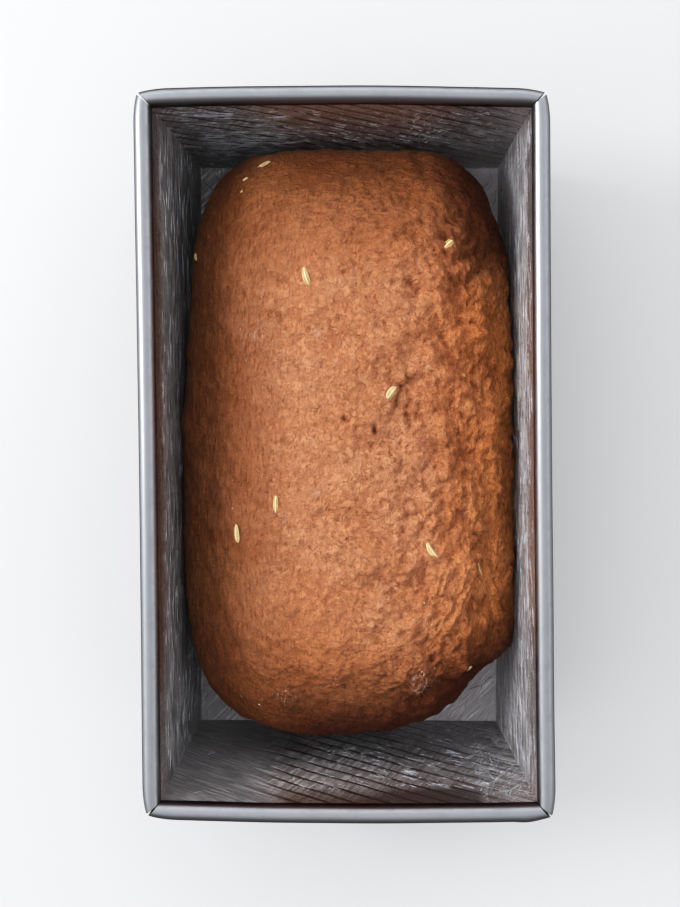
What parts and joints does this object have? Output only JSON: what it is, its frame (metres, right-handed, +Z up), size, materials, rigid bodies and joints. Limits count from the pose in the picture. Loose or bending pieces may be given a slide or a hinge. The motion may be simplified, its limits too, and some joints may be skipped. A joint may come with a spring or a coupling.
{
  "type": "rye bread loaf in loaf tin",
  "caption": "Shaped, unbaked loaf of dark rye dough with scattered fennel seeds, lying in a greased folded loaf tin with a rolled, mitred rim.",
  "frame": {"origin": "middle of the tin's underside, on the surface it stands on", "axes": "+Z up, +Y along the tin's length towards the loaf's squarer end, +X across the tin"},
  "size_m": [0.1412, 0.246, 0.0708],
  "materials": {
    "aluminised_steel": "satin",
    "baking_fat": "satin",
    "rye_dough": "matte",
    "fennel_seed": "satin",
    "rye_flour": "matte"
  },
  "bodies": {
    "root": {"tin": "aluminised_steel", "dough_loaf": "rye_dough"}
  },
  "joints": []
}
